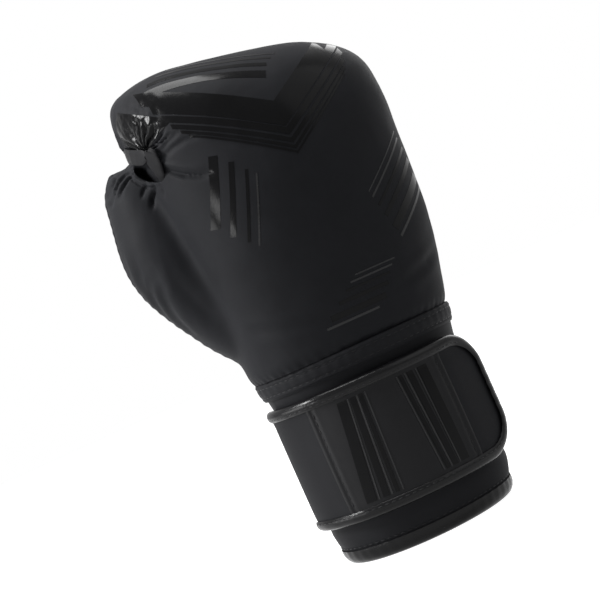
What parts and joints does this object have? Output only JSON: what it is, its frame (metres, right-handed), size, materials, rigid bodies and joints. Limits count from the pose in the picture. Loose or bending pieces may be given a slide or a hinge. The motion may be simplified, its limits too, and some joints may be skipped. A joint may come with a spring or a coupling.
{
  "type": "boxing glove",
  "caption": "Padded right-hand boxing glove with attached thumb, padded cuff with a palm slit, and a wide hook-and-loop wrist strap that peels open.",
  "frame": {"origin": "centre of the glove's bounding box, on the plane of the cuff's mouth, on which the glove stands", "axes": "+Z from the cuff's mouth to the knuckles, -Y out of the back of the hand, +Y out of the palm, -X to the thumb side"},
  "size_m": [0.1768, 0.1441, 0.3007],
  "materials": {
    "cover": "matte charcoal microfibre leather with gloss printed stripes",
    "patch": "semi-matte leather",
    "binding": "gloss black binding tape",
    "foam": "moulded closed-cell foam",
    "lining": "woven polyester lining",
    "elastic": "ribbed elastic webbing",
    "hook_tape": "nylon hook tape",
    "loop_tape": "nylon loop pile"
  },
  "bodies": {
    "glove": {"back_panel": "cover", "palm_panel": "cover", "thumb_palm_panel": "cover", "thumb_lock": "cover", "knuckle_pad": "foam", "palm_pad": "foam", "thumb_pad": "foam", "hand_liner": "lining", "grip_bar": "lining", "wrist_band": "cover", "cuff_cover": "cover", "cuff_pad": "foam", "cuff_liner": "lining", "hem_binding": "binding", "slit_binding_finger": "binding", "slit_binding_thumb": "binding", "slit_gusset": "elastic", "inner_label": "lining", "loop_patch": "loop_tape", "strap_root": "cover"},
    "strap_stretch": {"strap_elastic": "elastic"},
    "strap_flap": {"flap_lining": "cover", "flap_foam": "foam", "flap_face_thumb": "cover", "flap_patch": "patch", "flap_face_end": "cover", "flap_binding": "binding", "hook_patch": "hook_tape"}
  },
  "joints": [
    {"name": "stretch_swing", "type": "hinge", "parent": "glove", "child": "strap_stretch", "pos_m": [0.03548, 0.04425, 0.0622], "axis": [0, 0, -1], "range_deg": [0, 48]},
    {"name": "flap_peel", "type": "hinge", "parent": "strap_stretch", "child": "strap_flap", "pos_m": [-0.05221, -0.00219, 0.0622], "axis": [0, 0, -1], "range_deg": [0, 120]}
  ],
  "couplings": [
    {"joint": "stretch_swing", "follows": "flap_peel", "ratio": 0.4}
  ]
}
